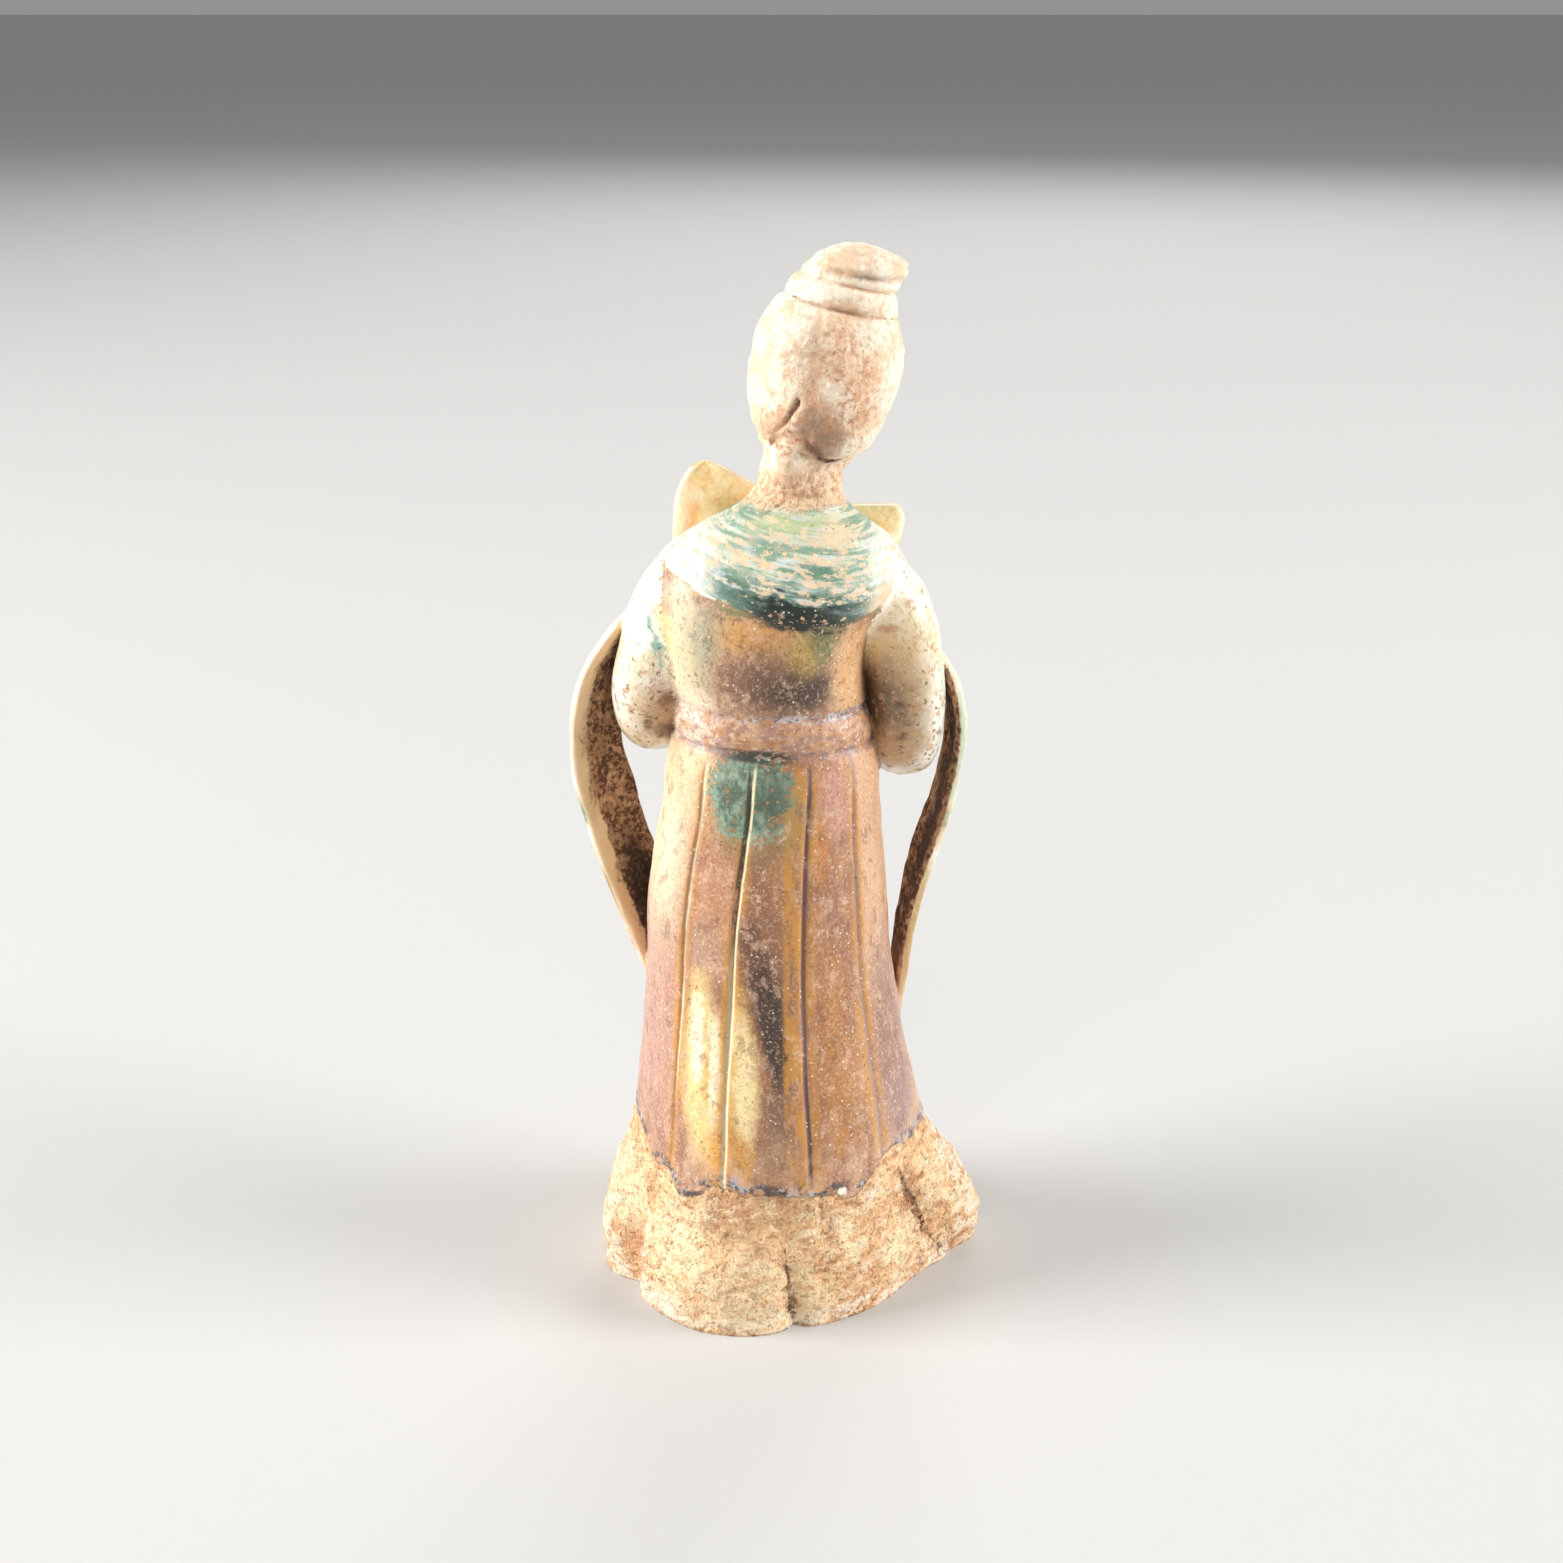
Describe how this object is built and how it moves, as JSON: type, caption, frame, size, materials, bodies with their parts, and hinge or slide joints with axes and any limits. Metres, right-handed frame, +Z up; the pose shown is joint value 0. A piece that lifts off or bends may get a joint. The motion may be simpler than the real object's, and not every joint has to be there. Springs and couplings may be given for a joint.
{
  "type": "standing musician figure",
  "caption": "Glazed pottery figure of a standing woman musician in a long pleated skirt and winged jacket, with a looping scarf and panpipes, standing on the hem of the skirt.",
  "frame": {"origin": "on the ground under the middle of the figure's bounding box", "axes": "+Z up; she faces -Y, so the back seen in the picture faces +Y; her left hand is towards +X"},
  "size_m": [0.1049, 0.0831, 0.2602],
  "materials": {
    "glazed_earthenware": "weathered lead glaze over buff fired clay, satin, with bare clay on the head, neck and hem"
  },
  "bodies": {
    "root": {"figure": "glazed_earthenware"}
  },
  "joints": []
}
